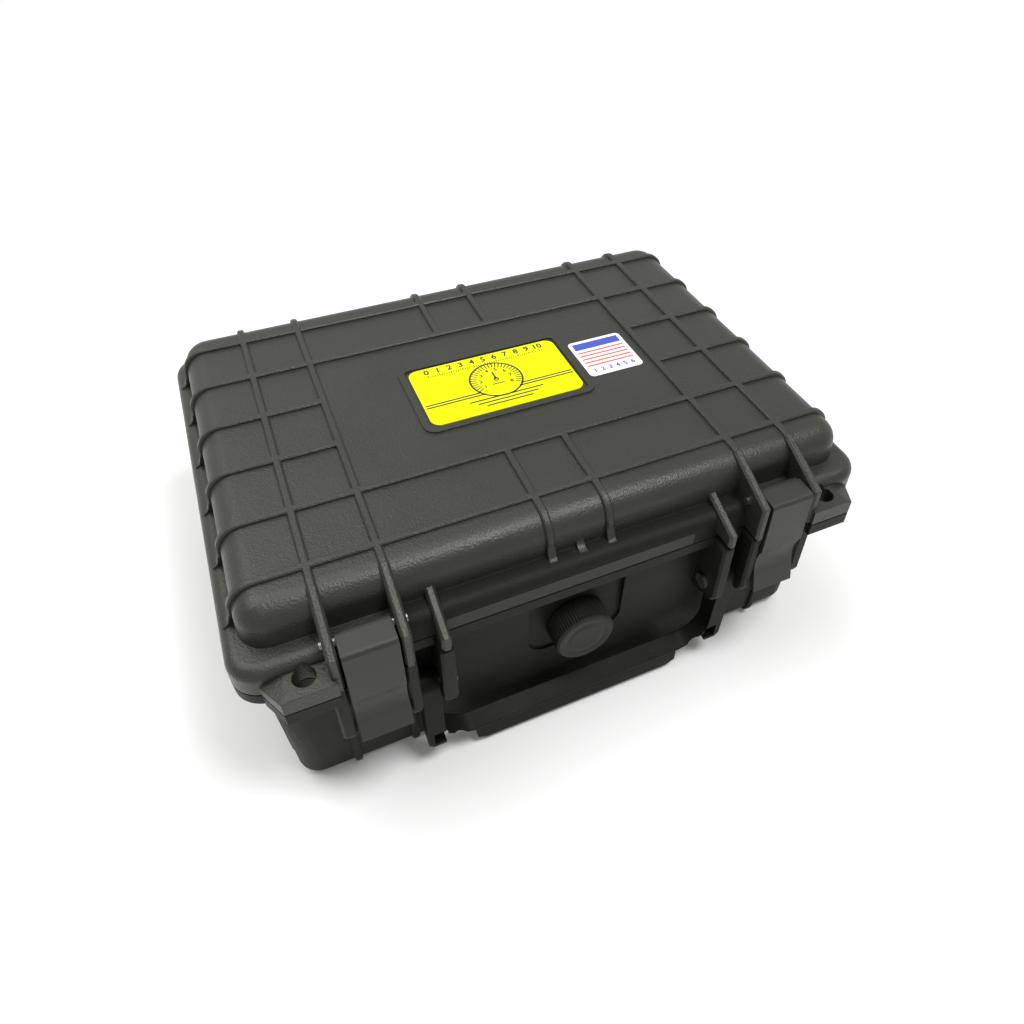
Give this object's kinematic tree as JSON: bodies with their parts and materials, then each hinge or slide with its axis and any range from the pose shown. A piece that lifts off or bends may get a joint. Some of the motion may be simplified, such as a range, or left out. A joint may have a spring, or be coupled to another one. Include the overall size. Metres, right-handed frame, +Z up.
{
  "type": "headset tester",
  "caption": "Headset and intercom tester in a closed ribbed black case with a hinged lid, draw latches, folding handle, relief valve and an inner control panel.",
  "frame": {"origin": "middle of the underside, on the plane of the ribs that the case stands on", "axes": "X right along the front, Y to the hinges at the back, Z up; the latches face -Y"},
  "size_m": [0.245, 0.2012, 0.1084],
  "materials": {
    "case_plastic": "textured moulded black",
    "steel": "bright turned",
    "seal_rubber": "soft matt",
    "label_yellow": "glossy printed film",
    "sticker_white": "glossy printed film",
    "strip_grey": "bare satin tape",
    "panel_paint": "fine satin black on aluminium",
    "jack_plastic": "moulded",
    "switch_metal": "plain",
    "knob_plastic": "satin moulded",
    "button_red": "smooth moulded",
    "lamp_glass": "tinted clear",
    "board_green": "solder resist",
    "brass": "plain",
    "battery_wrap": "plain sleeve"
  },
  "bodies": {
    "base": {"base_shell": "case_plastic", "hinge_pins": "steel", "handle_pins": "steel", "panel_screws": "steel", "board_screws": "steel", "jack_nuts": "steel", "lamp_bezels": "steel", "panel_plate": "panel_paint", "phones_jack": "jack_plastic", "mic_jack": "jack_plastic", "helmet_jack": "jack_plastic", "volume_pot": "switch_metal", "mode_switch": "switch_metal", "power_switch": "switch_metal", "talk_switch": "jack_plastic", "lamp_lenses": "lamp_glass", "circuit_board": "board_green", "board_standoffs": "brass", "board_chips": "jack_plastic", "board_capacitors": "jack_plastic", "battery_holder": "jack_plastic", "battery": "battery_wrap"},
    "lid": {"lid_shell": "case_plastic", "lid_gasket": "seal_rubber", "label_plate": "label_yellow", "inspection_sticker": "sticker_white", "front_strip": "strip_grey", "latch_pins": "steel"},
    "latch_left": {"latch_left": "case_plastic"},
    "latch_right": {"latch_right": "case_plastic"},
    "handle": {"handle": "case_plastic"},
    "valve_slide": {"valve_seal": "seal_rubber"},
    "valve": {"valve_knob": "case_plastic", "valve_stem": "steel", "valve_collar": "steel"},
    "volume": {"volume_knob": "knob_plastic", "volume_shaft": "steel"},
    "mode": {"mode_knob": "knob_plastic", "mode_shaft": "steel"},
    "power": {"power_lever": "steel"},
    "talk": {"talk_button": "button_red"}
  },
  "joints": [
    {"name": "lid_hinge", "type": "hinge", "parent": "base", "child": "lid", "pos_m": [0, 0.096, 0.0806], "axis": [-1, 0, 0], "range_deg": [0, 105]},
    {"name": "latch_left_pivot", "type": "hinge", "parent": "lid", "child": "latch_left", "pos_m": [-0.0797, -0.0889, 0.0942], "axis": [-1, 0, 0], "range_deg": [0, 100]},
    {"name": "latch_right_pivot", "type": "hinge", "parent": "lid", "child": "latch_right", "pos_m": [0.0797, -0.0889, 0.0942], "axis": [-1, 0, 0], "range_deg": [0, 100]},
    {"name": "handle_fold", "type": "hinge", "parent": "base", "child": "handle", "pos_m": [0, -0.0894, 0.0541], "axis": [-1, 0, 0], "range_deg": [0, 90]},
    {"name": "valve_lift", "type": "slide", "parent": "base", "child": "valve_slide", "axis": [0, -1, 0], "range_m": [0, 0.0012]},
    {"name": "valve_turn", "type": "hinge", "parent": "valve_slide", "child": "valve", "pos_m": [0, -0.08, 0.0481], "axis": [0, -1, 0], "range_deg": [0, 360]},
    {"name": "volume_turn", "type": "hinge", "parent": "base", "child": "volume", "pos_m": [0, -0.034, 0.08], "axis": [0, 0, -1], "range_deg": [0, 300]},
    {"name": "mode_turn", "type": "hinge", "parent": "base", "child": "mode", "pos_m": [0.056, -0.034, 0.08], "axis": [0, 0, -1], "range_deg": [0, 120]},
    {"name": "power_toggle", "type": "hinge", "parent": "base", "child": "power", "pos_m": [0.056, 0.034, 0.0781], "axis": [-1, 0, 0], "range_deg": [0, 22]},
    {"name": "talk_press", "type": "slide", "parent": "base", "child": "talk", "axis": [0, 0, -1], "range_m": [0, 0.002], "stiffness_N_per_m": 400}
  ],
  "couplings": [
    {"joint": "valve_lift", "follows": "valve_turn", "m_per_rad": 0.00019099}
  ]
}
